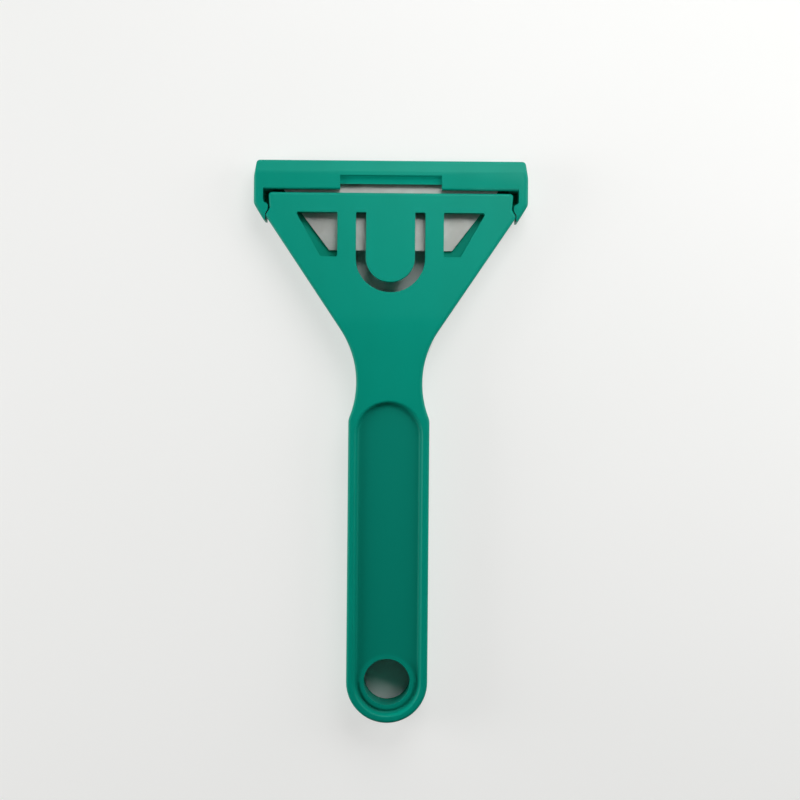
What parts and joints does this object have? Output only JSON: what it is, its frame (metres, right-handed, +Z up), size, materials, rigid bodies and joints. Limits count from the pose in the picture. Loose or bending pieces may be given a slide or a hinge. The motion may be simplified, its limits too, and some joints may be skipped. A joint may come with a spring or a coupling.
{
  "type": "ceramic hob scraper",
  "caption": "Flat hand scraper: handle with sunken panels and a hanging hole, flared head that holds a trapezoid blade behind a sprung tongue, and a clip-on blade guard.",
  "frame": {"origin": "under the middle of the whole object's box, on the surface that it lies on with its front face up", "axes": "+Y along the handle towards the blade, +X across the head to the right, +Z up, out of the front face"},
  "size_m": [0.0734, 0.15, 0.01],
  "materials": {
    "body_plastic": "green moulded plastic with a fine satin grain",
    "guard_plastic": "green moulded plastic with a fine satin grain",
    "blade_steel": "ground blade steel with a fine grain along the edge"
  },
  "bodies": {
    "scraper_body": {"scraper_body": "body_plastic"},
    "blade_latch": {"blade_latch": "body_plastic"},
    "blade": {"blade": "blade_steel"},
    "blade_guard": {"blade_guard": "guard_plastic"}
  },
  "joints": [
    {"name": "latch_flex", "type": "hinge", "parent": "scraper_body", "child": "blade_latch", "pos_m": [0, 0.0609, 0.00819], "axis": [-1, 0, 0], "range_deg": [0, 8], "stiffness_Nm_per_rad": 2.2},
    {"name": "blade_draw", "type": "slide", "parent": "scraper_body", "child": "blade", "axis": [0, 1, 0], "range_m": [0, 0.022]},
    {"name": "guard_pull", "type": "slide", "parent": "blade", "child": "blade_guard", "axis": [0, 1, 0], "range_m": [0, 0.03]}
  ]
}
